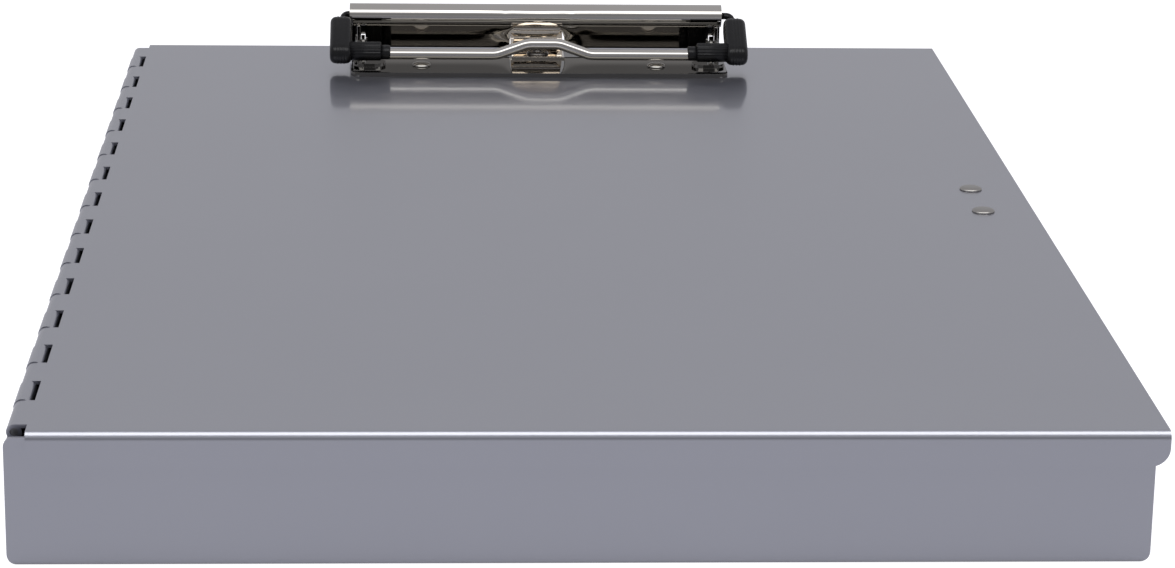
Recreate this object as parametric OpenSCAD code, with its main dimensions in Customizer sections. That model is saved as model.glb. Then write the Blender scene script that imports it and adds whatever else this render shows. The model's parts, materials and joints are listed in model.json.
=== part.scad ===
// Storage clipboard: a sheet-aluminium tray box, a writing lid on a full-length piano hinge,
// a snap latch opposite the hinge, and a high-capacity clip on the rear end of the lid.
// Origin at the middle of the tray's underside, +X towards the latch, +Y towards the clip, +Z up.

/* [Body] */
// Width over the hinge knuckles and the lid's free edge
board_w = 241.3; // [200:0.1:260]
// Length over the lid's front and rear flanges
board_l = 355.6; // [330:0.1:380]
// Height of the closed box, tray underside to writing surface
body_h = 29.6; // [24:0.1:40]
// Thickness of the tray's sheet
tray_t = 1.0; // [0.8:0.1:1.2]
// Thickness of the lid's sheet
lid_t = 0.8; // [0.6:0.1:1]
// Height of the lid's front and rear flanges
flange_h = 7.6; // [5:0.1:12]
// How far the lid's free edge stands out past the tray's right wall
lid_overhang = 2.7; // [2:0.1:5]
// Radius of the flanges' free lower corners
flange_corner_r = 4; // [1:0.5:5]

/* [Hinge] */
// Distance from one tray knuckle to the next
knuckle_pitch = 25.4; // [20:0.1:30]
// Distance from the front edge to where a tray knuckle's centre would come next in front of the first one
first_knuckle = 2.0; // [1:0.1:4]
// Radius of the hinge pin
pin_r = 0.8; // [0.7:0.05:1]
// Radial play between the pin and the knuckles
pin_play = 0.05; // [0.02:0.01:0.1]
// Depth of the lid's notches, from the outer edge of the knuckles
notch_depth = 4.6; // [4.4:0.1:6]
// Length of the open notch at each end of the hinge
end_notch_l = 5.4; // [4:0.1:8]
// Gap beside each knuckle
knuckle_gap = 0.15; // [0.1:0.05:0.3]

/* [Clip base] */
// Width of the base plate
base_w = 110; // [100:1:120]
// Thickness of the base plate
base_t = 1.2; // [1:0.1:1.5]
// Distance of the base plate's front edge from the lid's rear edge
base_inset = 41.5; // [38:0.5:46]
// Depth of the base plate, front to rear
base_d = 31; // [29:0.5:33]
// Distance between the two clip rivets
rivet_spacing = 69; // [60:1:76]
// Distance of the clip rivets from the lid's rear edge
rivet_inset = 32; // [30:0.5:34]

/* [Clip lever] */
// Width of the lever's wall and roll
lever_w = 109; // [100:1:112]
// Thickness of the lever's sheet
lever_t = 0.9; // [0.8:0.1:1]
// Outer radius of the roll along the top of the lever
roll_r = 3.3; // [3:0.1:3.5]
// Height of the roll's axis above the lid
roll_z = 13.2; // [12.5:0.1:14]
// Height of the pivot's axis above the lid
pivot_z = 4.2; // [4.1:0.1:4.6]
// Distance of the pivot's axis from the lid's rear edge
pivot_inset = 16.8; // [16.5:0.1:17.5]

/* [Jaw] */
// Diameter of the jaw's wire
wire_d = 3.2; // [2.8:0.1:3.2]
// Height of the wire's front bar above the lid
bar_z = 4.8; // [4.6:0.1:5.2]
// Distance of the front bar from the lid's rear edge
bar_inset = 32.8; // [32:0.1:34]
// How much the bar's middle arch stands above the bar
arch_rise = 3.2; // [2:0.1:4]
// Width of the wire jaw between the middles of its side arms
jaw_w = 116; // [114:1:118]

/* [Latch] */
// Distance of the latch rivets from the lid's free edge
latch_inset = 13; // [12.5:0.1:14]
// Distance of the latch's middle from the lid's middle, towards the clip
latch_y = 2.8; // [-10:0.1:10]
// Distance between the two latch rivets
latch_spacing = 21.2; // [20:0.1:26]
// Thickness of the latch's spring strip
latch_t = 0.6; // [0.5:0.1:0.6]
// How far the latch tongue hangs below the plate
tongue_h = 11; // [9:0.5:14]

/* [Hidden] */
$fn = 48;

aluminium = [0.56, 0.57, 0.59];
nickel = [0.74, 0.71, 0.67];
spring_steel = [0.6, 0.59, 0.57];
rubber = [0.07, 0.07, 0.075];
eps = 0.01;

// Box edges and sheet planes
left_x = -board_w / 2;
lid_right_x = board_w / 2;
front_y = -board_l / 2;
rear_y = board_l / 2;
tray_right_x = lid_right_x - lid_overhang;
flange_play = 0.25;
tray_y = board_l / 2 - lid_t - flange_play;
lid_under_z = body_h - lid_t;
wall_top_z = lid_under_z - 0.6;
lid_bend_r = 1.8;
end_corner_r = 2.0;
pan_bend_r = 2.8;
pan_edge_r = 1.6;
lip_w = 4.4;

// Hinge
knuckle_in_r = pin_r + pin_play;
tray_knuckle_r = knuckle_in_r + tray_t;
lid_knuckle_r = knuckle_in_r + lid_t;
hinge_x = left_x + tray_knuckle_r;
hinge_z = body_h - lid_knuckle_r;
knuckle_l = knuckle_pitch / 2;
notch_x = left_x + notch_depth;
wall_notch_z = hinge_z - lid_knuckle_r - 0.5;
knuckle_count = floor((board_l - first_knuckle) / knuckle_pitch);
pin_half_l = board_l / 2 - end_notch_l - 0.3;

// Centres of the tray's knuckles, and front and rear faces of the lid's knuckles between and beyond them
function pitch_y(i) = front_y + first_knuckle + i * knuckle_pitch;
tray_knuckles = [for (i = [1:knuckle_count]) pitch_y(i)];
lid_knuckles = [for (i = [0:knuckle_count]) [
    i == 0 ? front_y + end_notch_l : pitch_y(i + 0.5) - knuckle_l / 2,
    i == knuckle_count ? rear_y - end_notch_l : pitch_y(i + 0.5) + knuckle_l / 2]];

// Clip
base_front_y = rear_y - base_inset;
base_rear_y = base_front_y + base_d;
base_corner_r = 2.5;
rivet_y = rear_y - rivet_inset;
rivet_shank_r = 1.55;
rivet_hole_r = 1.6;
rivet_tail_h = 0.8;
clip_head_r = 2.65;
clip_head_h = 1.0;
clip_tail_r = 2.4;
washer_r = 4.2;
washer_t = 0.6;
pivot_y = rear_y - pivot_inset;
pivot_pin_r = 1.25;
pivot_play = 0.05;
ear_r = 2.6;
ear_in_x = 51.3;
ear_t = 1.0;
cheek_gap = 0.3;
cheek_in_x = ear_in_x + ear_t + cheek_gap;
cheek_t = 0.9;
wall_front_y = pivot_y + 1.2;
wall_rear_y = wall_front_y + lever_t;
wall_foot_z = pivot_z - 1.6;
roll_y = wall_rear_y - roll_r;
cheek_h = 6;
opening_r = 8.2;
opening_mid_z = 3.9;
roll_notch_r = 11;
roll_notch_mid_z = 1.3;
pad_z = 2.2;
pad_x = 49.8;
pad_l = 9.6;
pad_w = 6.4;

// Leaf spring and its eyelet
leaf_w = 15.6;
leaf_t = 0.6;
leaf_front_y = base_front_y + 18.5;
leaf_arc_r = 5.7;
leaf_arc_y = base_rear_y - 1.3;
leaf_arc_end = 102;
eyelet_y = base_front_y + 23;
eyelet_tube_r = 2.0;
eyelet_bore_r = 1.3;
eyelet_flange_r = 3.3;

// Jaw and grips
wire_r = wire_d / 2;
bar_y = rear_y - bar_inset;
arch_foot_x = 13.6;
arch_top_x = 4.6;
arch_shift = 1.2;
wire_end_x = 50;
jaw_top_r = 2.4;
bend_overlap = 0.05;
bend_step = 0.01;
jaw_corner_r = 4.5;
arch_bend_r = 8;
sleeve_r = 2.8;
sleeve_end_x = 46.3;
collar_r = 2.15;
collar_end_x = 43.6;
block_in_x = 54.9;
block_w = 6.4;
block_r = 3.4;
block_flat_r = block_r - 0.02;
grip_reach = 0.62;
grip_neck_r = 2.1;

// Latch
latch_x = lid_right_x - latch_inset;
latch_l = latch_spacing + 10;
latch_plate_reach = 5;
latch_head_r = 2.9;
latch_head_h = 0.9;
latch_tail_r = 2.3;
latch_edge_x = latch_x + 4.6;
latch_top_z = lid_under_z;
tongue_w = 14;
flex_z = latch_top_z - latch_t - 0.1 - latch_t / 2;
nose_r = 1.5;
nose_z = wall_top_z - tray_t - 0.3 - nose_r;

// A point of the clip, given by its side, its place along Y and its height above the lid
function clip_point(x, y, z) = [x, y, body_h + z];

// Outline of a pan seen from one end: rounded lower corners, open square top
module pan_outline(x0, x1, z0, z1, r) {
    translate([x0, z0 + r]) square([x1 - x0, z1 - z0 - r]);
    translate([x0 + r, z0]) square([x1 - x0 - 2 * r, r + eps]);
    for (x = [x0 + r, x1 - r]) translate([x, z0 + r]) circle(r);
}

// Outline of a folded lid seen from one end: rounded upper corners
module lid_outline(half, z0, z1, r) {
    translate([-half, z0]) square([2 * half, z1 - z0 - r]);
    translate([-half + r, z0]) square([2 * (half - r), z1 - z0]);
    for (y = [-half + r, half - r]) translate([y, z1 - r]) circle(r);
}

// Extrusion along Y of an outline drawn in X and Z
module along_y(y0, y1) {
    translate([0, y1, 0]) rotate([90, 0, 0]) linear_extrude(y1 - y0) children();
}

// Extrusion along X of an outline drawn in Y and Z
module along_x(x0, x1) {
    translate([x0, 0, 0]) rotate([90, 0, 90]) linear_extrude(x1 - x0) children();
}

// Solid pan block with both pairs of lower edges rounded
module pan_block(x0, x1, half_y, z0, z1, r_side, r_end) {
    intersection() {
        along_y(-half_y, half_y) pan_outline(x0, x1, z0, z1, r_side);
        along_x(x0, x1) pan_outline(-half_y, half_y, z0, z1, r_end);
    }
}

module knuckle(y, outer_r, length) {
    translate([hinge_x, y + length / 2, hinge_z]) rotate([90, 0, 0]) cylinder(r = outer_r, h = length);
}

module pin_bore() {
    translate([hinge_x, pin_half_l + 1, hinge_z]) rotate([90, 0, 0])
        cylinder(r = knuckle_in_r, h = 2 * pin_half_l + 2);
}

// Straight round rod between two points
module rod(a, b, r) {
    d = b - a;
    translate(a) rotate([0, acos(d[2] / norm(d)), atan2(d[1], d[0])]) cylinder(r = r, h = norm(d));
}

// Rivet with a low domed head on top, its shank and the upset tail below
module rivet(head_r, head_h, shank_r, shank_l, tail_r, tail_h) {
    dome_r = (head_r * head_r + head_h * head_h) / (2 * head_h);
    intersection() {
        translate([0, 0, head_h - dome_r]) sphere(dome_r);
        cylinder(r = head_r, h = head_h + 1);
    }
    translate([0, 0, -shank_l]) cylinder(r = shank_r, h = shank_l + eps);
    translate([0, 0, -shank_l - tail_h]) cylinder(r = tail_r, h = tail_h);
}

module tray() color(aluminium) {
    difference() {
        union() {
            difference() {
                pan_block(left_x, tray_right_x, tray_y, 0, wall_top_z, pan_bend_r, pan_edge_r);
                pan_block(left_x + tray_t, tray_right_x - tray_t, tray_y - tray_t, tray_t, body_h + 1,
                    pan_bend_r - tray_t, pan_edge_r - tray_t);
            }
            tray_hinge();
            translate([tray_right_x - lip_w, -tray_y + tray_t + 1, wall_top_z - tray_t])
                cube([lip_w, 2 * (tray_y - tray_t - 1), tray_t]);
        }
        for (i = [0:knuckle_count]) side_wall_notch(i);
        for (side = [-1, 1]) end_wall_corner(side);
        pin_bore();
    }
}

// Tray knuckles and the tabs of the side wall that carry them
module tray_hinge() {
    length = knuckle_l - knuckle_gap;
    for (y = tray_knuckles) {
        knuckle(y, tray_knuckle_r, length);
        translate([left_x, y - length / 2, wall_notch_z - 1])
            cube([tray_t, length, hinge_z - wall_notch_z + 1]);
    }
}

// Room in the side wall for a lid knuckle; the end ones run on to the end walls
module side_wall_notch(i) {
    start = i == 0 ? -tray_y + tray_t : lid_knuckles[i][0] - knuckle_gap;
    end = i == knuckle_count ? tray_y - tray_t : lid_knuckles[i][1] + knuckle_gap;
    translate([left_x - 1, start, wall_notch_z]) cube([tray_t + 1 + eps, end - start, body_h]);
}

// Waste outside the rounded upper corner of an end wall, beside the hinge
module end_wall_corner(side) {
    z = wall_top_z - end_corner_r;
    y0 = side > 0 ? tray_y - tray_t : -tray_y - 1;
    along_y(y0, y0 + tray_t + 1) difference() {
        translate([left_x - 1, z]) square([end_corner_r + 1, end_corner_r + 1]);
        translate([left_x + end_corner_r, z]) circle(end_corner_r);
    }
}

module lid() color(aluminium) {
    difference() {
        union() {
            lid_sheet();
            for (ends = lid_knuckles) {
                length = ends[1] - ends[0] - knuckle_gap;
                knuckle((ends[0] + ends[1]) / 2, lid_knuckle_r, length);
                translate([hinge_x, ends[0] + knuckle_gap / 2, lid_under_z])
                    cube([notch_depth, length, lid_t]);
            }
        }
        pin_bore();
        for (side = [-1, 1])
            translate([side * rivet_spacing / 2, rivet_y, lid_under_z - 1]) cylinder(r = rivet_hole_r, h = 3);
        for (side = [-1, 1])
            translate([latch_x, latch_y + side * latch_spacing / 2, lid_under_z - 1])
                cylinder(r = rivet_hole_r, h = 3);
    }
}

// Writing plate with its two folded flanges
module lid_sheet() {
    difference() {
        along_x(notch_x, lid_right_x) lid_outline(rear_y, body_h - flange_h, body_h, lid_bend_r);
        along_x(notch_x - 1, lid_right_x + 1) lid_outline(rear_y - lid_t, 0, lid_under_z, lid_bend_r - lid_t);
        along_y(front_y - 1, rear_y + 1) {
            flange_corner(notch_x, 1);
            flange_corner(lid_right_x, -1);
        }
    }
}

// Waste outside the rounded lower corner of a flange
module flange_corner(x, side) {
    z = body_h - flange_h;
    difference() {
        translate([side > 0 ? x - 1 : x - flange_corner_r, z - 1])
            square([flange_corner_r + 1, flange_corner_r + 1]);
        translate([x + side * flange_corner_r, z + flange_corner_r]) circle(flange_corner_r);
    }
}

module hinge_pin() color(spring_steel) {
    translate([hinge_x, pin_half_l, hinge_z]) rotate([90, 0, 0]) cylinder(r = pin_r, h = 2 * pin_half_l);
}

module clip_base() color(nickel) {
    difference() {
        union() {
            translate([0, 0, body_h]) linear_extrude(base_t) base_outline();
            for (side = [-1, 1]) {
                ear(side);
                pad(side);
            }
        }
        for (side = [-1, 1])
            translate([side * rivet_spacing / 2, rivet_y, body_h - 1]) cylinder(r = rivet_hole_r, h = 4);
        translate([0, eyelet_y, body_h - 1]) cylinder(r = eyelet_tube_r + 0.05, h = 4);
        translate(clip_point(-base_w, pivot_y, pivot_z)) rotate([0, 90, 0])
            cylinder(r = pivot_pin_r + 0.02, h = 2 * base_w);
    }
}

module base_outline() {
    half = base_w / 2;
    translate([-half + base_corner_r, base_front_y]) square([base_w - 2 * base_corner_r, base_d]);
    translate([-half, base_front_y + base_corner_r]) square([base_w, base_d - base_corner_r]);
    for (x = [-half + base_corner_r, half - base_corner_r])
        translate([x, base_front_y + base_corner_r]) circle(base_corner_r);
}

// Upturned ear that carries a pivot
module ear(side) {
    x0 = side > 0 ? ear_in_x : -ear_in_x - ear_t;
    along_x(x0, x0 + ear_t) {
        translate([pivot_y, body_h + pivot_z]) circle(ear_r);
        translate([pivot_y - ear_r, body_h + base_t / 2]) square([2 * ear_r, pivot_z - base_t / 2]);
    }
}

// Raised oblong pad that the grip comes down on
module pad(side) {
    translate([side * pad_x, bar_y + 1.6, body_h + base_t / 2]) linear_extrude(pad_z - base_t / 2) {
        square([pad_l - pad_w, pad_w], center = true);
        for (s = [-1, 1]) translate([s * (pad_l - pad_w) / 2, 0]) circle(pad_w / 2);
    }
}

// Section of the lever: a hollow-backed wall that ends in a forward roll
module lever_section() {
    hollow_r = 24;
    mid_z = (wall_foot_z + roll_z) / 2;
    half_h = (roll_z - wall_foot_z) / 2;
    set_back = sqrt(hollow_r * hollow_r - half_h * half_h);
    intersection() {
        translate([wall_rear_y - set_back, body_h + mid_z]) difference() {
            circle(hollow_r, $fn = 96);
            circle(hollow_r - lever_t, $fn = 96);
        }
        translate([wall_front_y - 1, body_h + wall_foot_z]) square([4, roll_z - wall_foot_z]);
    }
    translate([roll_y, body_h + roll_z]) difference() {
        circle(roll_r);
        circle(roll_r - lever_t);
        polygon([[0, 0], [0, -2 * roll_r], [2 * roll_r, -2 * roll_r], [2 * roll_r, 0]]);
    }
}

module clip_lever() color(nickel) {
    difference() {
        union() {
            along_x(-lever_w / 2, lever_w / 2) lever_section();
            for (side = [-1, 1]) cheek(side);
        }
        lever_opening();
        for (side = [-1, 1]) ear_clearance(side);
        translate(clip_point(-base_w, pivot_y, pivot_z)) rotate([0, 90, 0])
            cylinder(r = pivot_pin_r + pivot_play, h = 2 * base_w);
    }
}

// Side plate of the lever, folded forward round the pivot
module cheek(side) {
    x0 = side > 0 ? cheek_in_x : -cheek_in_x - cheek_t;
    along_x(x0, x0 + cheek_t) {
        translate([pivot_y, body_h + pivot_z]) circle(ear_r);
        translate([pivot_y - ear_r, body_h + pivot_z]) square([wall_rear_y - pivot_y + ear_r, cheek_h]);
        translate([pivot_y, body_h + wall_foot_z]) square([wall_rear_y - pivot_y, cheek_h]);
    }
}

// Room for the base plate's ear inside the lever's wall
module ear_clearance(side) {
    gap_w = lever_w / 2 + 1 - cheek_in_x - cheek_t;
    in_w = cheek_in_x - ear_in_x + 0.3;
    for (span = [[ear_in_x - 0.3, in_w], [cheek_in_x + cheek_t, gap_w]])
        translate([side > 0 ? span[0] : -span[0] - span[1], wall_front_y - 1, body_h])
            cube([span[1], 4, pivot_z + ear_r + 0.4]);
}

// Round-topped opening in the lever's wall, and the matching notch in the front of the roll
module lever_opening() {
    half_w = opening_r - 0.02;
    along_y(wall_front_y - 1, wall_rear_y + 2) {
        translate([0, body_h + opening_mid_z]) circle(opening_r);
        translate([-half_w, body_h]) square([2 * half_w, opening_mid_z]);
    }
    along_y(roll_y - roll_r - 1, wall_front_y - 1 + eps)
        translate([0, body_h + roll_notch_mid_z]) circle(roll_notch_r);
}

// Corner points of one side of the jaw: roll, side arm, front bar and the foot and top of its arch
function jaw_side(s) = [
    clip_point(s * wire_end_x, roll_y, roll_z),
    clip_point(s * jaw_w / 2, roll_y, roll_z),
    clip_point(s * jaw_w / 2, bar_y, bar_z),
    clip_point(s * arch_foot_x + arch_shift, bar_y, bar_z),
    clip_point(s * arch_top_x + arch_shift, bar_y, bar_z + arch_rise)];

function unit(v) = v / norm(v);
function reversed(list) = [for (i = [len(list) - 1:-1:0]) list[i]];
jaw_points = concat(jaw_side(-1), reversed(jaw_side(1)));
jaw_bends = [0, jaw_top_r, jaw_corner_r, arch_bend_r, arch_bend_r,
    arch_bend_r, arch_bend_r, jaw_corner_r, jaw_top_r, 0];

// Direction of the stretch that starts at point i, the turn at point i, and how far the bend takes up each
// stretch
function way(i) = unit(jaw_points[i + 1] - jaw_points[i]);
function turn(i) = jaw_bends[i] == 0 ? 0 : acos(way(i - 1) * way(i));
function bend_reach(i) = jaw_bends[i] * tan(turn(i) / 2);

// Straight stretches and bends of the jaw; the stretches are a hair thinner than the bends and run a little
// way into them
module wire_path(r) {
    for (i = [0:len(jaw_points) - 2])
        rod(jaw_points[i] + (bend_reach(i) - bend_overlap) * way(i),
            jaw_points[i + 1] - (bend_reach(i + 1) - bend_overlap) * way(i), r - bend_step);
    for (i = [1:len(jaw_points) - 2]) wire_bend(i, r);
}

// Quarter or part of a torus that joins the two stretches at point i
module wire_bend(i, r) {
    bend_start = jaw_points[i] - bend_reach(i) * way(i - 1);
    inward = unit(way(i) - (way(i) * way(i - 1)) * way(i - 1));
    centre = bend_start + jaw_bends[i] * inward;
    side = cross(-inward, way(i - 1));
    multmatrix([for (k = [0:2]) [-inward[k], way(i - 1)[k], side[k], centre[k]]])
        rotate_extrude(angle = turn(i)) translate([jaw_bends[i], 0]) circle(r);
}

module clip_wire() color(nickel) wire_path(wire_r);

// Rubber corner grip moulded on the jaw: a sleeve on the bar, a collar beside it, a block along the side arm
// and a thin neck round the wire up to the roll
module grip(s) color(rubber) {
    arm_y = (roll_y - bar_y) * grip_reach;
    arm_z = (roll_z - bar_z) * grip_reach;
    mirror([s > 0 ? 0 : 1, 0, 0]) {
        along_x(block_in_x, block_in_x + block_w) translate([bar_y, body_h + bar_z + 0.4]) {
            circle(block_r);
            translate([arm_y, arm_z]) circle(block_r);
            rotate(atan2(arm_z, arm_y)) translate([0, -block_flat_r])
                square([norm([arm_y, arm_z]), 2 * block_flat_r]);
        }
        translate(clip_point(sleeve_end_x, bar_y + 0.2, bar_z + 0.8)) rotate([0, 90, 0])
            cylinder(r = sleeve_r, h = block_in_x - sleeve_end_x + eps);
        translate(clip_point(collar_end_x, bar_y + 0.1, bar_z + 0.5)) rotate([0, 90, 0])
            cylinder(r = collar_r, h = sleeve_end_x - collar_end_x + eps);
        grip_neck();
    }
}

// Neck round the top of the right-hand side arm and its bend into the roll
module grip_neck() {
    neck_l = 8;
    top = len(jaw_points) - 2;
    down = -way(top - 1);
    neck_start = jaw_points[top] + (bend_reach(top) - bend_overlap) * down;
    rod(neck_start, neck_start + neck_l * down, grip_neck_r - bend_step);
    wire_bend(top, grip_neck_r);
}

module grip_left() grip(-1);
module grip_right() grip(1);

// Black bush that holds an end of the jaw in an end of the roll
module lever_bush(s) color(rubber) {
    bush_l = 4;
    lip_l = 1.0;
    mirror([s > 0 ? 0 : 1, 0, 0])
        translate(clip_point(lever_w / 2 - bush_l, roll_y, roll_z)) rotate([0, 90, 0])
        difference() {
            cylinder(r = roll_r - lever_t - 0.05, h = bush_l + lip_l);
            translate([0, 0, -1]) cylinder(r = wire_r + 0.04, h = bush_l + lip_l + 2);
        }
}

module lever_bush_left() lever_bush(-1);
module lever_bush_right() lever_bush(1);

// Leaf spring: flat foot under the eyelet and a hoop behind the lever
module clip_leaf_spring() color(spring_steel) {
    hoop_z = body_h + base_t + leaf_arc_r;
    difference() {
        along_x(-leaf_w / 2, leaf_w / 2) {
            translate([leaf_front_y, body_h + base_t]) square([leaf_arc_y - leaf_front_y, leaf_t]);
            translate([leaf_arc_y, hoop_z]) difference() {
                circle(leaf_arc_r);
                circle(leaf_arc_r - leaf_t);
                polygon([[0, 0], [0, -9], [-9, -9], [-9, 9],
                    [9 * cos(leaf_arc_end), 9 * sin(leaf_arc_end)]]);
            }
        }
        translate([0, eyelet_y, body_h]) cylinder(r = eyelet_tube_r + 0.05, h = 4);
    }
}

module clip_eyelet() color(spring_steel) {
    foot_z = body_h + base_t + leaf_t;
    flange_t = 0.7;
    difference() {
        union() {
            translate([0, eyelet_y, body_h + 0.1]) cylinder(r = eyelet_tube_r, h = base_t + leaf_t);
            translate([0, eyelet_y, foot_z]) cylinder(r = eyelet_flange_r, h = flange_t);
        }
        translate([0, eyelet_y, body_h - 1]) cylinder(r = eyelet_bore_r, h = 6);
    }
}

// Pivot stud: shank through the ear and the cheek, head outside
module clip_pivot(s) color(spring_steel) {
    head_r = 2.0;
    head_t = 0.5;
    out_x = cheek_in_x + cheek_t + 0.1;
    mirror([s > 0 ? 0 : 1, 0, 0]) {
        translate(clip_point(ear_in_x - 0.6, pivot_y, pivot_z)) rotate([0, 90, 0])
            cylinder(r = pivot_pin_r, h = out_x - ear_in_x + 0.6 + eps);
        translate(clip_point(out_x, pivot_y, pivot_z)) rotate([0, 90, 0]) cylinder(r = head_r, h = head_t);
    }
}

module clip_pivot_left() clip_pivot(-1);
module clip_pivot_right() clip_pivot(1);

module clip_rivet(s) color(nickel) {
    translate([s * rivet_spacing / 2, rivet_y, body_h + base_t])
        rivet(clip_head_r, clip_head_h, rivet_shank_r, base_t + lid_t + washer_t, clip_tail_r, rivet_tail_h);
}

module clip_rivet_left() clip_rivet(-1);
module clip_rivet_right() clip_rivet(1);

module clip_washer(s) color(spring_steel) {
    translate([s * rivet_spacing / 2, rivet_y, lid_under_z - washer_t]) difference() {
        cylinder(r = washer_r, h = washer_t);
        translate([0, 0, -1]) cylinder(r = rivet_hole_r, h = 3);
    }
}

module clip_washer_left() clip_washer(-1);
module clip_washer_right() clip_washer(1);

module latch_plate() color(spring_steel) {
    plate_in_x = latch_x - latch_plate_reach;
    difference() {
        translate([plate_in_x, latch_y - latch_l / 2, latch_top_z - latch_t])
            cube([latch_edge_x - plate_in_x, latch_l, latch_t]);
        for (side = [-1, 1])
            translate([latch_x, latch_y + side * latch_spacing / 2, latch_top_z - 2])
                cylinder(r = rivet_hole_r, h = 4);
    }
}

// Hanging tongue, round where it bends, with a rounded nose that snaps under the tray's lip
module latch_tongue() color(spring_steel) {
    along_y(latch_y - tongue_w / 2, latch_y + tongue_w / 2) {
        translate([latch_edge_x - latch_t / 2, flex_z]) circle(latch_t / 2);
        translate([latch_edge_x - latch_t, flex_z - tongue_h]) square([latch_t, tongue_h]);
        intersection() {
            translate([latch_edge_x, nose_z]) circle(nose_r);
            translate([latch_edge_x - latch_t / 2, nose_z - nose_r]) square([nose_r + latch_t, 2 * nose_r]);
        }
    }
}

module latch_rivet(s) color(aluminium) {
    translate([latch_x, latch_y + s * latch_spacing / 2, body_h])
        rivet(latch_head_r, latch_head_h, rivet_shank_r, lid_t + latch_t, latch_tail_r, rivet_tail_h);
}

module latch_rivet_front() latch_rivet(-1);
module latch_rivet_rear() latch_rivet(1);

tray();
lid();
hinge_pin();
clip_base();
clip_lever();
clip_wire();
grip_left();
grip_right();
lever_bush_left();
lever_bush_right();
clip_leaf_spring();
clip_eyelet();
clip_pivot_left();
clip_pivot_right();
clip_rivet_left();
clip_rivet_right();
clip_washer_left();
clip_washer_right();
latch_plate();
latch_tongue();
latch_rivet_front();
latch_rivet_rear();
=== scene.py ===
"""Looks of a sheet-aluminium storage clipboard with a nickel-plated clip, built round its CAD frame."""
import json
import math

import bpy
from mathutils import Matrix, Vector


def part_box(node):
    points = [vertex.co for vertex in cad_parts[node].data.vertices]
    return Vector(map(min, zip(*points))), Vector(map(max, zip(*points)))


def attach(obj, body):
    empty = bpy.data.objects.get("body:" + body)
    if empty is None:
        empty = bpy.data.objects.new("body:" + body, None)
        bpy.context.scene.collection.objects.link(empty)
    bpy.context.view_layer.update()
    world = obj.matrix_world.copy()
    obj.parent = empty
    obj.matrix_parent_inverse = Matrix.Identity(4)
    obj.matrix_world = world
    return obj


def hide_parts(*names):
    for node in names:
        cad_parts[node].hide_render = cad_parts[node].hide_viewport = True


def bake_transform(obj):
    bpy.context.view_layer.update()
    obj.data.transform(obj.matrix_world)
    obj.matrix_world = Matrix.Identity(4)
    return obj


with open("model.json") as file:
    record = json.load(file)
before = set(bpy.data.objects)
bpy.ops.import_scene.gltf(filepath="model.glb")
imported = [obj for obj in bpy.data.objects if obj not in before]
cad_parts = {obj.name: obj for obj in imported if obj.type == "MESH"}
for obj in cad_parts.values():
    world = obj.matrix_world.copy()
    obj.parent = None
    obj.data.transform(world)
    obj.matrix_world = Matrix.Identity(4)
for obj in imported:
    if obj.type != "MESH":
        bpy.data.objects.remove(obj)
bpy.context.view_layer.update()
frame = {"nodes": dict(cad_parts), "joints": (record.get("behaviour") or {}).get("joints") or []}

MM = 0.001

# ---------------------------------------------------------------- places taken from the frame
wire_lo, wire_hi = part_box("clip_wire")
lever_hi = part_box("clip_lever")[1]
leaf_lo, leaf_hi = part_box("clip_leaf_spring")
PIVOT = Vector(next(j["pos_m"] for j in frame["joints"] if j["name"] == "clip_pivot"))

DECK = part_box("lid")[1].z
BASE_T = 1.2 * MM
LEVER_T = 0.9 * MM
LEAF_T = 0.6 * MM
ROLL_R = 3.3 * MM
ROLL_Y = lever_hi.y - ROLL_R
ROLL_Z = lever_hi.z - ROLL_R
WALL_FOOT_Z = PIVOT.z - 1.6 * MM
WIRE_R = 1.6 * MM
JAW_X = wire_hi.x - WIRE_R
BAR_Y = wire_lo.y + WIRE_R
BAR_Z = wire_lo.z + WIRE_R
ARCH_SHIFT = 1.2 * MM

# ---------------------------------------------------------------- measures that several pieces share
CHEEK_IN = 52.6 * MM
CHEEK_OUT = 53.5 * MM
NECK_BEND_R = 1.6 * MM
NECK_TURN_IN = 0.6 * MM
RIVET_SHANK_R = 1.55 * MM
RIVET_TAIL_H = 0.8 * MM
OPENING_R = 8.2 * MM
OPENING_MID_Z = DECK + 3.9 * MM
OPENING_TOP_DEG = 84
OPENING_TOP_Z = OPENING_MID_Z + OPENING_R * math.sin(math.radians(OPENING_TOP_DEG))


# ---------------------------------------------------------------- mesh helpers
def mesh_object(name, verts, faces, smooth=True):
    mesh = bpy.data.meshes.new(name)
    mesh.from_pydata([tuple(v) for v in verts], [], faces)
    mesh.validate()
    mesh.update()
    if smooth:
        mesh.shade_smooth()
    obj = bpy.data.objects.new(name, mesh)
    bpy.context.scene.collection.objects.link(obj)
    return obj


def loft(rings, closed_ends=True):
    """Vertices and faces of a skin over rings of equal length, each ring a closed loop of points."""
    count = len(rings[0])
    verts = [p for ring in rings for p in ring]
    faces = []
    for i in range(len(rings) - 1):
        for j in range(count):
            k = (j + 1) % count
            faces.append((i * count + j, i * count + k, (i + 1) * count + k, (i + 1) * count + j))
    if closed_ends:
        faces.append(tuple(reversed(range(count))))
        last = (len(rings) - 1) * count
        faces.append(tuple(last + j for j in range(count)))
    return verts, faces


def joined(parts):
    """One vertex and face list out of several."""
    verts, faces = [], []
    for part_verts, part_faces in parts:
        shift = len(verts)
        verts += part_verts
        faces += [tuple(i + shift for i in face) for face in part_faces]
    return verts, faces


def mirrored(part):
    """The part's mirror image in X, with its faces turned the right way out."""
    verts, faces = part
    return [Vector((-v[0], v[1], v[2])) for v in verts], [tuple(reversed(f)) for f in faces]


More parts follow.
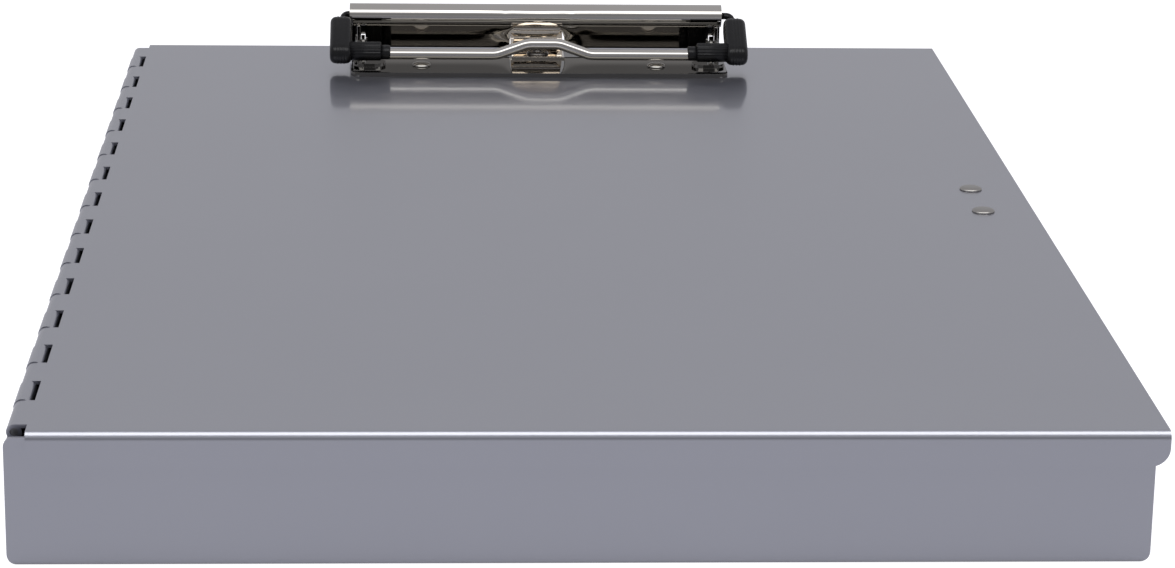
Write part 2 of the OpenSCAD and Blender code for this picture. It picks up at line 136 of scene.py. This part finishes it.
def rounded_path(points, radii, arc_steps=10):
    """Points along straight stretches whose inner corners are arcs of the given radii."""
    path = [points[0]]
    for i in range(1, len(points) - 1):
        back = (points[i - 1] - points[i]).normalized()
        ahead = (points[i + 1] - points[i]).normalized()
        half = back.angle(ahead) / 2
        reach = radii[i - 1] / math.tan(half)
        centre = points[i] + (back + ahead).normalized() * radii[i - 1] / math.sin(half)
        start = points[i] + back * reach - centre
        end = points[i] + ahead * reach - centre
        sweep = start.angle(end)
        for k in range(arc_steps + 1):
            t = k / arc_steps
            a = math.sin((1 - t) * sweep) / math.sin(sweep)
            b = math.sin(t * sweep) / math.sin(sweep)
            path.append(centre + start * a + end * b)
    path.append(points[-1])
    return path


def tube(path, radius, sides=28, thinner=None):
    """Skin of a round rod that follows a path, closed at both ends; thinner scales the radius at a point."""
    ahead = (path[1] - path[0]).normalized()
    up = Vector((0, 0, 1)) if abs(ahead.z) < 0.9 else Vector((0, 1, 0))
    side = ahead.cross(up).normalized()
    rings = []
    for i, point in enumerate(path):
        before = path[max(i - 1, 0)]
        after = path[min(i + 1, len(path) - 1)]
        ahead = (after - before).normalized()
        side = (side - ahead * side.dot(ahead)).normalized()
        up = side.cross(ahead)
        ring = []
        r = radius * (thinner(point) if thinner else 1)
        for k in range(sides):
            a = 2 * math.pi * k / sides
            ring.append(point + (side * math.cos(a) + up * math.sin(a)) * r)
        rings.append(ring)
    return loft(rings)


def lathe(profile, centre, steps=48):
    """Skin of a profile of (radius, height) points turned about a vertical axis."""
    rings = []
    for radius, height in profile:
        turns = [2 * math.pi * k / steps for k in range(steps)]
        rings.append([centre + Vector((radius * math.cos(a), radius * math.sin(a), height)) for a in turns])
    return loft(rings)


def ring_across(x, y, z, radius, steps=40):
    """Ring of points round a line that runs along X."""
    turns = [2 * math.pi * k / steps for k in range(steps)]
    return [Vector((x, y + radius * math.cos(a), z + radius * math.sin(a))) for a in turns]


def arc(cx, cz, radius, start_deg, end_deg, steps):
    """Points of a round stretch in a plane, from a first angle to a last one."""
    points = []
    for k in range(steps + 1):
        a = math.radians(start_deg + (end_deg - start_deg) * k / steps)
        points.append((cx + radius * math.cos(a), cz + radius * math.sin(a)))
    return points


def smoothstep(t):
    t = min(max(t, 0.0), 1.0)
    return t * t * (3 - 2 * t)


# ---------------------------------------------------------------- materials
def node_material(name):
    material = bpy.data.materials.new(name)
    material.use_nodes = True
    return material, material.node_tree.nodes, material.node_tree.links


def noise(nodes, links, coords, scale, detail=3.0):
    texture = nodes.new("ShaderNodeTexNoise")
    texture.inputs["Scale"].default_value = scale
    texture.inputs["Detail"].default_value = detail
    links.new(coords, texture.inputs["Vector"])
    return texture.outputs["Fac"]


def mapped(nodes, links, value, low, high):
    ramp = nodes.new("ShaderNodeMapRange")
    ramp.inputs["To Min"].default_value = low
    ramp.inputs["To Max"].default_value = high
    links.new(value, ramp.inputs["Value"])
    return ramp.outputs["Result"]


def tinted(nodes, links, value, dark, light):
    mix = nodes.new("ShaderNodeMix")
    mix.data_type = "RGBA"
    mix.inputs[6].default_value = (*dark, 1)
    mix.inputs[7].default_value = (*light, 1)
    links.new(value, mix.inputs[0])
    return mix.outputs[2]


def object_coords(nodes):
    return nodes.new("ShaderNodeTexCoord").outputs["Object"]


def bumped(nodes, links, shader, height, strength, distance):
    bump = nodes.new("ShaderNodeBump")
    bump.inputs["Strength"].default_value = strength
    bump.inputs["Distance"].default_value = distance
    links.new(height, bump.inputs["Height"])
    links.new(bump.outputs["Normal"], shader.inputs["Normal"])


def metal(name, dark, light, rough_low, rough_high, grain_scale, bump=0.0, blotch=25.0):
    """Bare or plated metal: slow tone changes, a fine grain in its gloss and, with bump, in its surface."""
    material, nodes, links = node_material(name)
    shader = nodes["Principled BSDF"]
    shader.inputs["Metallic"].default_value = 1.0
    coords = object_coords(nodes)
    tone = noise(nodes, links, coords, blotch, 2.0)
    links.new(tinted(nodes, links, tone, dark, light), shader.inputs["Base Color"])
    fine = noise(nodes, links, coords, grain_scale, 4.0)
    links.new(mapped(nodes, links, fine, rough_low, rough_high), shader.inputs["Roughness"])
    if bump:
        bumped(nodes, links, shader, fine, bump, 0.02 * MM)
    return material


def sheet_aluminium():
    """Satin sheet under a clear anodised film: a broad dull sheen and a weak sharp one on top."""
    material = metal("satin_sheet", (0.350, 0.358, 0.412), (0.365, 0.373, 0.428), 0.34, 0.42, 5200, bump=0.04)
    shader = material.node_tree.nodes["Principled BSDF"]
    shader.inputs["Coat Weight"].default_value = 1.0
    shader.inputs["Coat IOR"].default_value = 2.2
    shader.inputs["Coat Roughness"].default_value = 0.085
    return material


def nickel_plate():
    return metal("nickel_plate", (0.64, 0.615, 0.575), (0.68, 0.655, 0.615), 0.018, 0.03, 900, blotch=60)


# Nickel of the base plate, the same plating as the wire and lever but with a much darker colour: painted dark
# reflection standing in for the dark surroundings the plate mirrors, not a darker metal
def nickel_painted_dark():
    return metal("base_nickel_painted_dark_reflection", (0.135, 0.13, 0.122), (0.16, 0.155, 0.145), 0.02, 0.035, 900, blotch=60)


def spring_strip():
    return metal("spring_strip", (0.76, 0.70, 0.62), (0.81, 0.75, 0.67), 0.035, 0.06, 1500)


def plain_steel():
    return metal("plain_steel", (0.27, 0.27, 0.27), (0.33, 0.33, 0.32), 0.26, 0.38, 1800, bump=0.05)


def dark_steel():
    return metal("dark_steel", (0.10, 0.095, 0.09), (0.15, 0.14, 0.13), 0.22, 0.32, 1800)


def rivet_metal():
    return metal("rivet_metal", (0.40, 0.385, 0.365), (0.46, 0.445, 0.42), 0.26, 0.36, 2600, bump=0.08)


def black_polymer(name, rough_low, rough_high, bump):
    """Black moulded rubber or plastic: a faint mottle, uneven gloss and a fine moulding texture."""
    material, nodes, links = node_material(name)
    shader = nodes["Principled BSDF"]
    coords = object_coords(nodes)
    mottle = noise(nodes, links, coords, 700, 3.0)
    colour = tinted(nodes, links, mottle, (0.006, 0.006, 0.0065), (0.014, 0.014, 0.015))
    links.new(colour, shader.inputs["Base Color"])
    gloss = noise(nodes, links, coords, 240, 2.0)
    links.new(mapped(nodes, links, gloss, rough_low, rough_high), shader.inputs["Roughness"])
    bumped(nodes, links, shader, noise(nodes, links, coords, 5200, 2.0), bump, 0.04 * MM)
    shader.inputs["Specular IOR Level"].default_value = 0.3
    return material


# ---------------------------------------------------------------- pieces
def place(name, part, body, node, material, smooth=True):
    """Makes a piece that rides on a body and stands for a CAD node."""
    obj = mesh_object(name, *part, smooth=smooth)
    obj.data.materials.append(material)
    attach(obj, body)
    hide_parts(node)
    return obj


def soften_edges(obj, width, angle_deg=35, segments=2):
    bevel = obj.modifiers.new("edges", "BEVEL")
    bevel.width = width
    bevel.segments = segments
    bevel.limit_method = "ANGLE"
    bevel.angle_limit = math.radians(angle_deg)
    bevel.harden_normals = True


def jaw_path():
    """Corner points and bend radii of the wire, from one end of the roll to the other."""
    half_arch_foot, half_arch_top, rise, inside_roll = 13.6 * MM, 4.6 * MM, 3.2 * MM, 50 * MM
    up_arm = 0.55
    left = [
        Vector((-inside_roll, ROLL_Y, ROLL_Z)),
        Vector((-JAW_X + NECK_TURN_IN, ROLL_Y, ROLL_Z)),
        Vector((-JAW_X, BAR_Y + (ROLL_Y - BAR_Y) * up_arm, BAR_Z + (ROLL_Z - BAR_Z) * up_arm)),
        Vector((-JAW_X, BAR_Y, BAR_Z)),
        Vector((-half_arch_foot + ARCH_SHIFT, BAR_Y, BAR_Z)),
        Vector((-half_arch_top + ARCH_SHIFT, BAR_Y, BAR_Z + rise)),
    ]
    right = [Vector((-p.x, p.y, p.z)) for p in reversed(left)]
    for p in right[:2]:
        p.x += 2 * ARCH_SHIFT
    bends = [NECK_BEND_R, 8 * MM, 4.5 * MM, 8 * MM, 8 * MM]
    return left + right, bends + bends[::-1]


def wire_share(point):
    """The wire is drawn down to half its thickness where it turns into the roll."""
    thinned, starts_below, over = 0.5, 3.4 * MM, 2.2 * MM
    return 1 - thinned * smoothstep((point.z - ROLL_Z + starts_below) / over)


def make_wire(material):
    points, radii = jaw_path()
    part = tube(rounded_path(points, radii, 12), WIRE_R, 32, wire_share)
    place("jaw_wire", part, "clip_jaw", "clip_wire", material)


def stadium(centre_y, centre_z, run_y, run_z, radius, steps=16):
    """Outline in Y and Z of a bar with round ends, from a first centre along a run to a second one."""
    slope = math.atan2(run_z, run_y)
    points = []
    for end, first in ((1, -90), (0, 90)):
        for k in range(steps + 1):
            a = slope + math.radians(first + 180 * k / steps)
            points.append((centre_y + run_y * end + radius * math.cos(a),
                centre_z + run_z * end + radius * math.sin(a)))
    return points


def grip_block():
    """Block along the side arm, rounded along its edges, with shallow ribs that run along the arm."""
    width, radius, edge_r, rib_pitch, rib_depth = 6.4 * MM, 3.4 * MM, 1.7 * MM, 0.92 * MM, 0.13 * MM
    inner_x, reach, rise, rib_fade, flat_steps = 54.9 * MM, 0.62, 0.4 * MM, 0.4 * MM, 30
    run_y, run_z = (ROLL_Y - BAR_Y) * reach, (ROLL_Z - BAR_Z) * reach
    rings = []
    flat = width / 2 - edge_r
    offsets = [-flat - edge_r * math.cos(math.radians(a)) for a in range(0, 90, 10)]
    offsets += [flat * (k / flat_steps - 1) for k in range(2 * flat_steps + 1)]
    offsets += [flat + edge_r * math.sin(math.radians(a)) for a in range(10, 91, 10)]
    for x in offsets:
        past = max(abs(x) - flat, 0)
        drop = edge_r - math.sqrt(max(edge_r ** 2 - past ** 2, 0))
        rib = rib_depth * (0.5 + 0.5 * math.cos(2 * math.pi * x / rib_pitch))
        rib *= smoothstep((flat - abs(x)) / rib_fade)
        outline = stadium(BAR_Y, BAR_Z + rise, run_y, run_z, radius - drop - rib_depth + rib)
        rings.append([Vector((inner_x + width / 2 + x, y, z)) for y, z in outline])
    return loft(rings)


def rounded_start(start, edge_r):
    """Stations in X of a rounded end that faces the middle, each with how far the radius drops there."""
    turns = [math.radians(a) for a in range(0, 91, 15)]
    return [(start + edge_r * (1 - math.cos(a)), edge_r * (1 - math.sin(a))) for a in turns]


def grip_sleeve():
    """Sleeve on the front bar with ribs along its upper and front side."""
    start, end, radius, edge_r, shift_y, rise = 46.3 * MM, 55.6 * MM, 2.8 * MM, 0.5 * MM, 0.2 * MM, 0.8 * MM
    rib_pitch, rib_depth = math.radians(19), 0.17 * MM
    ribs_mid, ribs_half, ribs_fade = math.radians(125), math.radians(72), math.radians(8)
    steps = 144
    rings = []
    for x, drop in rounded_start(start, edge_r) + [(end, 0)]:
        ring = []
        for k in range(steps):
            a = 2 * math.pi * k / steps
            off_mid = math.atan2(math.sin(a - ribs_mid), math.cos(a - ribs_mid))
            ribbed = smoothstep((ribs_half - abs(off_mid)) / ribs_fade)
            rib = rib_depth * ribbed * (0.5 - 0.5 * math.cos(2 * math.pi * off_mid / rib_pitch))
            r = radius - drop - rib
            ring.append(Vector((x, BAR_Y + shift_y + r * math.cos(a), BAR_Z + rise + r * math.sin(a))))
        rings.append(ring)
    return loft(rings)


def grip_collar():
    """Smooth round collar beside the sleeve."""
    start, end, radius, edge_r, shift_y, rise = 43.6 * MM, 46.8 * MM, 2.15 * MM, 0.5 * MM, 0.1 * MM, 0.5 * MM
    rings = []
    for x, drop in rounded_start(start, edge_r) + [(end, 0)]:
        rings.append(ring_across(x, BAR_Y + shift_y, BAR_Z + rise, radius - drop))
    return loft(rings)


def grip_neck():
    """Thin neck round the drawn-down wire, from the block up into the bend by the roll."""
    radius, along_arm, into_roll, up_arm = 1.0 * MM, 6.5 * MM, 2.6 * MM, 0.45
    top = Vector((JAW_X - NECK_TURN_IN, ROLL_Y, ROLL_Z))
    down = Vector((NECK_TURN_IN, (BAR_Y - ROLL_Y) * up_arm, (BAR_Z - ROLL_Z) * up_arm)).normalized()
    path = rounded_path([top + down * along_arm, top, top - Vector((into_roll, 0, 0))], [NECK_BEND_R])
    return tube(path, radius, 24)


def make_bushes(material):
    """Plugs in the ends of the roll that hold the drawn-down ends of the wire."""
    outer, inner, start, end, edge = 2.3 * MM, 0.95 * MM, 50.6 * MM, 54.3 * MM, 0.3 * MM
    profile = [(start, inner), (start, outer), (end - edge, outer), (end, outer - edge), (end, inner)]
    rings = [ring_across(x, ROLL_Y, ROLL_Z, r) for x, r in profile + profile[:1]]
    right = loft(rings, closed_ends=False)
    for end_name, part in (("right", right), ("left", mirrored(right))):
        node = "lever_bush_" + end_name
        place("roll_bush_" + end_name, part, "clip_jaw", node, material, smooth=False)


def make_grips(material):
    right = joined([grip_block(), grip_sleeve(), grip_collar(), grip_neck()])
    place("grip_rubber_right", right, "clip_jaw", "grip_right", material)
    place("grip_rubber_left", mirrored(right), "clip_jaw", "grip_left", material)


def lever_profile():
    """Circle of the lever's hollow wall in its section: the centre's Y and Z, and the radius."""
    hollow_r = 32 * MM
    mid = (WALL_FOOT_Z + ROLL_Z) / 2
    half = (ROLL_Z - WALL_FOOT_Z) / 2
    centre_y = lever_hi.y - math.sqrt(hollow_r ** 2 - half ** 2)
    return centre_y, mid, hollow_r


def opening_half(z):
    """Half width of the round-topped opening in the lever's wall at a height."""
    return math.sqrt(OPENING_R ** 2 - max(z - OPENING_MID_Z, 0) ** 2)


def roll_end(x):
    """How far round the roll goes: all the way at its sides, less above the opening."""
    shorter_half, steepness, full_deg, shorter_deg = 9.5 * MM, 2.2, 270, 72
    near = max(1 - (abs(x) / shorter_half) ** steepness, 0)
    return math.radians(full_deg - shorter_deg * near)


def lever_skin():
    """Outer skin of the lever: two wings beside the opening and the roll across the whole width."""
    centre_y, mid, hollow_r = lever_profile()
    near_cols, near_x, crowding, roll_rows, neck_rows = 26, 30 * MM, 1.7, 48, 3
    slot_in, slot_out, slot_top = 51.15 * MM, 52.45 * MM, PIVOT.z + 2.4 * MM
    far_x = [36 * MM, 43 * MM, 50 * MM, slot_in, slot_out, CHEEK_OUT, lever_hi.x]
    wing_cols = near_cols + len(far_x)
    flare, flare_reach, flare_fade, left_extra = 0.3 * MM, 2.6 * MM, 8 * MM, 1.2 * MM
    swell, swell_reach = 0.3 * MM, 11 * MM
    heights = [WALL_FOOT_Z, (WALL_FOOT_Z + OPENING_MID_Z) / 2]
    turns = [math.radians(a) for a in range(0, OPENING_TOP_DEG + 1, 4)]
    heights += [OPENING_MID_Z + OPENING_R * math.sin(a) for a in turns]
    heights = sorted(heights + [slot_top])
    wing_rows = len(heights) - 1

    def wall_y(z):
        return centre_y + math.sqrt(hollow_r ** 2 - (z - mid) ** 2)

    def wall_point(x, z):
        beside = abs(x) - opening_half(z)
        fade = smoothstep((OPENING_TOP_Z - z) / flare_fade)
        return Vector((x, wall_y(z) - flare * math.exp(-beside / flare_reach) * fade, z))

    def wing_x(side, col, z):
        if col > near_cols:
            return side * far_x[col - near_cols - 1] - (left_extra if side < 0 and col == wing_cols else 0)
        inner = opening_half(z)
        return side * (inner + (near_x - inner) * (col / near_cols) ** crowding)

    verts, faces, index = [], [], {}

    def vertex(key, point):
        if key not in index:
            index[key] = len(verts)
            verts.append(point)
        return index[key]

    for side in (-1, 1):
        for row in range(wing_rows):
            for col in range(wing_cols):
                if slot_in <= abs(wing_x(side, col, mid)) < slot_out and heights[row] < slot_top:
                    continue
                ids = []
                for c, r in ((col, row), (col + 1, row), (col + 1, row + 1), (col, row + 1)):
                    point = wall_point(wing_x(side, c, heights[r]), heights[r])
                    ids.append(vertex((side * (c + 1), r), point))
                faces.append(tuple(ids) if side < 0 else tuple(reversed(ids)))
    columns = [(-(c + 1), wing_x(-1, c, OPENING_TOP_Z)) for c in range(wing_cols, -1, -1)]
    columns.append((0, 0.0))
    columns += [(c + 1, wing_x(1, c, OPENING_TOP_Z)) for c in range(wing_cols + 1)]

    def roll_point(x, step):
        if step <= neck_rows:
            z = OPENING_TOP_Z + (ROLL_Z - OPENING_TOP_Z) * step / neck_rows
            return Vector((x, wall_y(z), z))
        a = roll_end(x) * (step - neck_rows) / roll_rows
        r = ROLL_R + swell * math.exp(-(x / swell_reach) ** 2) * max(-math.cos(a), 0) ** 2
        return Vector((x, ROLL_Y + r * math.cos(a), ROLL_Z + r * math.sin(a)))

    for step in range(neck_rows + roll_rows):
        for j in range(len(columns) - 1):
            ids = []
            for col, s in ((j, step), (j + 1, step), (j + 1, step + 1), (j, step + 1)):
                key, x = columns[col]
                ids.append(vertex((key, wing_rows + s), roll_point(x, s)))
            faces.append(tuple(reversed(ids)))
    return verts, faces


def cheek_plates():
    """The two side plates that fold forward round the pivots."""
    round_r, back, top = 2.6 * MM, lever_hi.y - LEVER_T, PIVOT.z + 6 * MM
    outline = arc(PIVOT.y, PIVOT.z, round_r, 180, 285, 15)
    outline += [(back, WALL_FOOT_Z), (back, top), (PIVOT.y - round_r, top)]
    rings = [[Vector((x, y, z)) for y, z in outline] for x in (CHEEK_IN, CHEEK_OUT)]
    right = loft(rings)
    return joined([right, mirrored(right)])


def make_lever(material):
    skin = place("lever_plate", lever_skin(), "clip_jaw", "clip_lever", material)
    solid = skin.modifiers.new("sheet", "SOLIDIFY")
    solid.thickness = LEVER_T
    solid.offset = -1
    solid.use_even_offset = True
    soften_edges(skin, 0.2 * MM, 50)
    cheeks = mesh_object("lever_cheeks", *cheek_plates(), smooth=False)
    cheeks.data.materials.append(material)
    soften_edges(cheeks, 0.15 * MM)
    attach(cheeks, "clip_jaw")


def make_leaf_spring(material):
    """Spring strip: flat foot, hoop behind the lever and a tip that leans on the roll."""
    hoop_r, end_deg, foot_steps, hoop_steps = 5.4 * MM, 100, 16, 44
    narrower, narrow_from, narrow_over = 0.16, 30, 30
    edge, edge_share = 0.12 * MM, 0.6
    foot_z = DECK + BASE_T + LEAF_T / 2
    hoop_y = leaf_hi.y - hoop_r - LEAF_T / 2
    line = [(leaf_lo.y + (hoop_y - leaf_lo.y) * k / foot_steps, foot_z) for k in range(foot_steps)]
    line += arc(hoop_y, foot_z + hoop_r, hoop_r, -90, end_deg, hoop_steps)
    rings = []
    for i, (y, z) in enumerate(line):
        y0, z0 = line[max(i - 1, 0)]
        y1, z1 = line[min(i + 1, len(line) - 1)]
        length = math.hypot(y1 - y0, z1 - z0)
        ny, nz = -(z1 - z0) / length * LEAF_T / 2, (y1 - y0) / length * LEAF_T / 2
        half = leaf_hi.x * (1 - narrower * smoothstep((i - narrow_from) / narrow_over))
        corners = [(-half, edge_share), (-half + edge, 1), (half - edge, 1), (half, edge_share)]
        ring = [Vector((x, y + ny * share, z + nz * share)) for x, share in corners]
        ring += [Vector((x, y - ny * share, z - nz * share)) for x, share in reversed(corners)]
        rings.append(ring)
    obj = mesh_object("spring_leaf", *loft(rings))
    obj.data.materials.append(material)
    soften_edges(obj, 0.05 * MM, 40, 1)
    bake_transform(obj)
    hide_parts("clip_leaf_spring")


def make_eyelet(material):
    """Tubular rivet with a rolled rim."""
    bore, rim, top, tube_r, depth, lift = 1.35 * MM, 3.3 * MM, 0.85 * MM, 2.0 * MM, 1.6 * MM, 0.02 * MM
    lo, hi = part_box("clip_eyelet")
    centre = Vector((0, (lo.y + hi.y) / 2, DECK + BASE_T + LEAF_T))
    roll_mid, roll_r = (bore + rim) / 2, (rim - bore) / 2
    turns = [math.radians(a) for a in range(0, 181, 12)]
    profile = [(bore, -depth)]
    profile += [(roll_mid - roll_r * math.cos(a), lift + top * math.sin(a)) for a in turns]
    profile += [(tube_r, lift), (tube_r, -depth)]
    verts, faces = lathe(profile + profile[:1], centre)
    walls = [f for f in faces if len(f) == 4]
    place("eyelet_ring", (verts, walls), "lid", "clip_eyelet", material)


def dome_profile(radius, height, depth, tail_r):
    """Half section of a set rivet, from its upset tail up to the middle of its domed head."""
    lip, middle, undercut, steps = 0.18 * MM, 0.02 * MM, 0.03 * MM, 8
    flat, crown, shoulder = 0.35, 0.985, 0.98
    under_in, under_out, tail_flat, tail_edge = 0.9, 0.97, 0.85, 0.6
    tail_z = -depth - RIVET_TAIL_H
    profile = [(middle, tail_z), (tail_r * tail_flat, tail_z), (tail_r, -depth - RIVET_TAIL_H * tail_edge)]
    profile += [(tail_r, -depth), (RIVET_SHANK_R, -depth), (RIVET_SHANK_R, 0.0)]
    profile += [(radius * under_in, 0.0), (radius * under_out, undercut)]
    for k in range(steps, 0, -1):
        a = math.radians(90 * k / steps)
        out, up = radius * (1 - flat) * math.sin(a), (height * shoulder - lip) * math.cos(a)
        profile.append((radius * flat + out, lip + up))
    return profile + [(radius * flat, height * crown), (middle, height)]


def rivet(node, head_z, radius, height, depth, tail_r):
    """Skin of a set rivet in the place of a CAD rivet, with its head on a sheet at the given height."""
    lo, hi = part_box(node)
    centre = Vector(((lo.x + hi.x) / 2, (lo.y + hi.y) / 2, head_z))
    return lathe(dome_profile(radius, height, depth, tail_r), centre)


def make_rivets(nickel, grey):
    for end in ("left", "right"):
        part = rivet("clip_rivet_" + end, DECK + BASE_T, 2.65 * MM, 1.0 * MM, 2.6 * MM, 2.4 * MM)
        place("clip_rivet_head_" + end, part, "lid", "clip_rivet_" + end, nickel)
    for end in ("front", "rear"):
        part = rivet("latch_rivet_" + end, DECK, 2.9 * MM, 0.9 * MM, 1.4 * MM, 2.3 * MM)
        place("latch_rivet_head_" + end, part, "lid", "latch_rivet_" + end, grey)


def dress_cad(names, material, bevel):
    """Gives CAD nodes their material and, where bevel isn't 0, small broken edges."""
    for name in names:
        obj = frame["nodes"][name]
        obj.data.materials.clear()
        obj.data.materials.append(material)
        if bevel:
            weld = obj.modifiers.new("weld", "WELD")
            weld.merge_threshold = 0.002 * MM
            soften_edges(obj, bevel)


# ---------------------------------------------------------------- stage, lights and camera
def paler_for_camera(nodes, links, plain, pale):
    """A shader that is pale where the camera sees it and plain where the object reflects it."""
    path = nodes.new("ShaderNodeLightPath")
    mix = nodes.new("ShaderNodeMixShader")
    links.new(path.outputs["Is Camera Ray"], mix.inputs["Fac"])
    links.new(plain, mix.inputs[1])
    links.new(pale, mix.inputs[2])
    return mix.outputs["Shader"]


def make_floor():
    half, drop = 12.0, 0.05 * MM
    corners = [(-half, -half, 0), (half, -half, 0), (half, half, 0), (-half, half, 0)]
    floor = mesh_object("floor", corners, [(0, 1, 2, 3)], smooth=False)
    floor.location.z = -drop
    material, nodes, links = node_material("pale_floor")
    shader = nodes["Principled BSDF"]
    shader.inputs["Base Color"].default_value = (0.36, 0.364, 0.392, 1)
    shader.inputs["Roughness"].default_value = 0.9
    shader.inputs["Specular IOR Level"].default_value = 0.1
    shader.inputs["Emission Color"].default_value = (0.975, 0.96, 1.0, 1)
    shader.inputs["Emission Strength"].default_value = 0.26
    glow = nodes.new("ShaderNodeEmission")
    glow.inputs["Strength"].default_value = 0.7
    add = nodes.new("ShaderNodeAddShader")
    links.new(shader.outputs["BSDF"], add.inputs[0])
    links.new(glow.outputs["Emission"], add.inputs[1])
    surface = paler_for_camera(nodes, links, shader.outputs["BSDF"], add.outputs["Shader"])
    links.new(surface, nodes["Material Output"].inputs["Surface"])
    floor.data.materials.append(material)


def make_world():
    """Even grey studio with a dark side towards the front, which bright metal shows as dark bands."""
    world = bpy.data.worlds.new("studio")
    bpy.context.scene.world = world
    world.use_nodes = True
    nodes, links = world.node_tree.nodes, world.node_tree.links
    coords = nodes.new("ShaderNodeTexCoord").outputs["Generated"]
    split = nodes.new("ShaderNodeSeparateXYZ")
    links.new(coords, split.inputs["Vector"])

    def ranged(value, start, end, low, high):
        node = nodes.new("ShaderNodeMapRange")
        node.interpolation_type = "SMOOTHSTEP"
        for key, number in (("From Min", start), ("From Max", end), ("To Min", low), ("To Max", high)):
            node.inputs[key].default_value = number
        links.new(value, node.inputs["Value"])
        return node.outputs["Result"]

    def product(a, b):
        node = nodes.new("ShaderNodeMath")
        node.operation = "MULTIPLY"
        links.new(a, node.inputs[0])
        links.new(b, node.inputs[1])
        return node.outputs["Value"]

    low_part = ranged(split.outputs["Z"], 0.36, 0.50, 1.0, 0.0)
    front_part = ranged(split.outputs["Y"], -0.25, -0.6, 0.0, 1.0)
    dark = product(low_part, front_part)
    level = ranged(dark, 0.0, 1.0, 0.47, 0.25)
    plain = nodes["Background"]
    links.new(level, plain.inputs["Strength"])
    plain.inputs["Color"].default_value = (0.985, 0.985, 1.04, 1)
    pale = nodes.new("ShaderNodeBackground")
    pale.inputs["Strength"].default_value = 1.05
    pale.inputs["Color"].default_value = (1, 1, 1, 1)
    shader = paler_for_camera(nodes, links, plain.outputs["Background"], pale.outputs["Background"])
    links.new(shader, nodes["World Output"].inputs["Surface"])


def make_softbox():
    """Level light panel over the front half of the lid."""
    height, front_y, rear_y, width, radiance = 0.40, -0.40, -0.065, 0.95, 1.95
    light = bpy.data.lights.new("softbox", "AREA")
    light.shape = "RECTANGLE"
    light.size = width
    light.size_y = rear_y - front_y
    light.energy = radiance * math.pi * light.size * light.size_y
    obj = bpy.data.objects.new("softbox", light)
    obj.location = (0, (front_y + rear_y) / 2, DECK + height)
    bpy.context.scene.collection.objects.link(obj)


def make_camera():
    """Long lens, low over the front edge, a little left of the middle."""
    pitch, yaw, roll = math.radians(16.788), math.radians(2.951), math.radians(0.923)
    place_mm = Vector((-36.47, -858.8, 267.3))
    forward = Vector((math.sin(yaw) * math.cos(pitch), math.cos(yaw) * math.cos(pitch), -math.sin(pitch)))
    level_right = Vector((math.cos(yaw), -math.sin(yaw), 0))
    level_up = level_right.cross(forward)
    right = level_right * math.cos(roll) + level_up * math.sin(roll)
    up = level_up * math.cos(roll) - level_right * math.sin(roll)
    data = bpy.data.cameras.new("camera")
    data.sensor_width = 36
    data.lens = 107.39
    data.clip_start = 0.01
    data.clip_end = 100
    camera = bpy.data.objects.new("camera", data)
    basis = Matrix((right, up, -forward)).transposed().to_4x4()
    camera.matrix_world = Matrix.Translation(place_mm * MM) @ basis
    bpy.context.scene.collection.objects.link(camera)
    bpy.context.scene.camera = camera


# ---------------------------------------------------------------- build
aluminium = sheet_aluminium()
nickel = nickel_plate()
steel = plain_steel()
strip = spring_strip()

dress_cad(["tray", "lid"], aluminium, 0)
dress_cad(["clip_base"], nickel_painted_dark(), 0.2 * MM)
dress_cad(["hinge_pin", "clip_pivot_left", "clip_pivot_right"], steel, 0.1 * MM)
dress_cad(["clip_washer_left", "clip_washer_right"], steel, 0.1 * MM)
dress_cad(["latch_plate", "latch_tongue"], strip, 0.06 * MM)
make_bushes(black_polymer("bush_plastic", 0.18, 0.28, 0.03))
make_wire(nickel)
make_lever(nickel)
make_grips(black_polymer("grip_rubber", 0.20, 0.32, 0.10))
make_leaf_spring(strip)
make_eyelet(dark_steel())
make_rivets(nickel, rivet_metal())
make_floor()
make_world()
make_softbox()
make_camera()
bpy.context.scene.view_settings.view_transform = "Standard"
